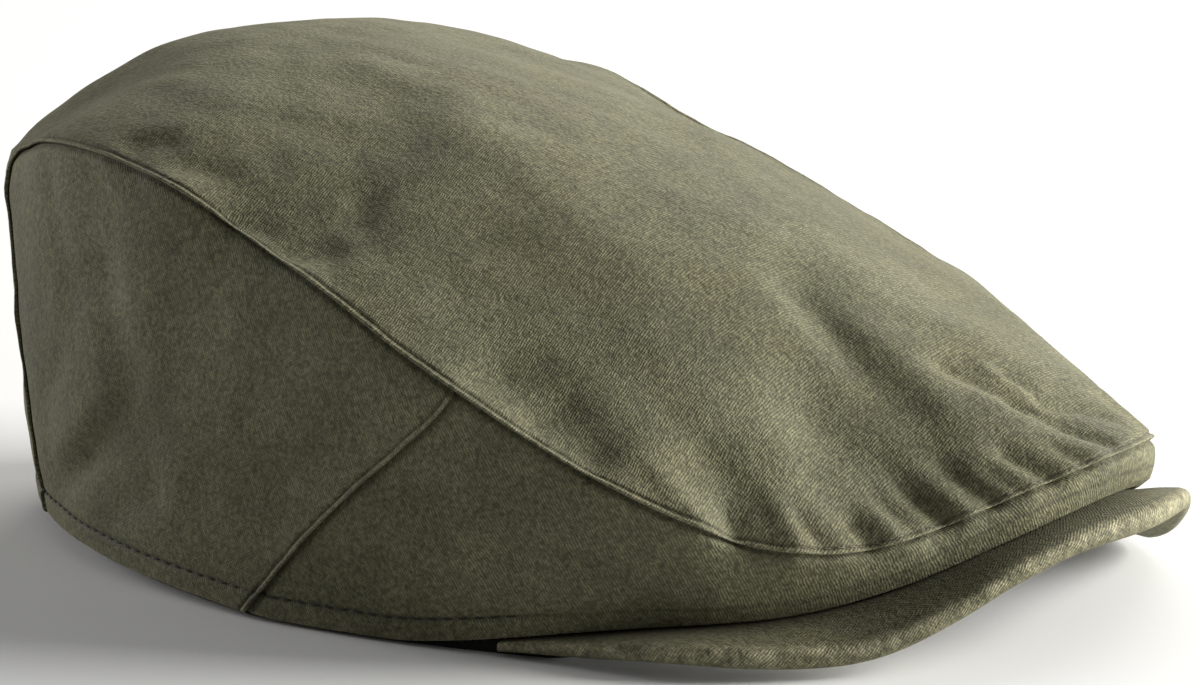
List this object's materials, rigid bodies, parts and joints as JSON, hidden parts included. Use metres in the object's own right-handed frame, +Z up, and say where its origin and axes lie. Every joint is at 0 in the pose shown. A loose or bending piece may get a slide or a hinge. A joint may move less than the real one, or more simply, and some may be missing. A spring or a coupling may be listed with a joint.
{
  "type": "waxed flat cap",
  "caption": "Soft waxed cotton flat cap: low crown sloping to the front, side panels with slanting seams, turned hem, sweatband and a short arched peak.",
  "frame": {"origin": "on the plane that the cap rests on, under the middle of its length and width", "axes": "+Z up, the peak points to -Y, and the wearer's right side is -X"},
  "size_m": [0.1756, 0.2528, 0.099],
  "materials": {
    "waxed_cotton": "olive waxed cotton twill with a cloudy worn finish",
    "band_twill": "matt black twill tape"
  },
  "bodies": {
    "root": {"top_panel": "waxed_cotton", "front_panel": "waxed_cotton", "rear_panel_right": "waxed_cotton", "rear_panel_left": "waxed_cotton", "sweatband": "band_twill", "peak": "waxed_cotton"}
  },
  "joints": []
}
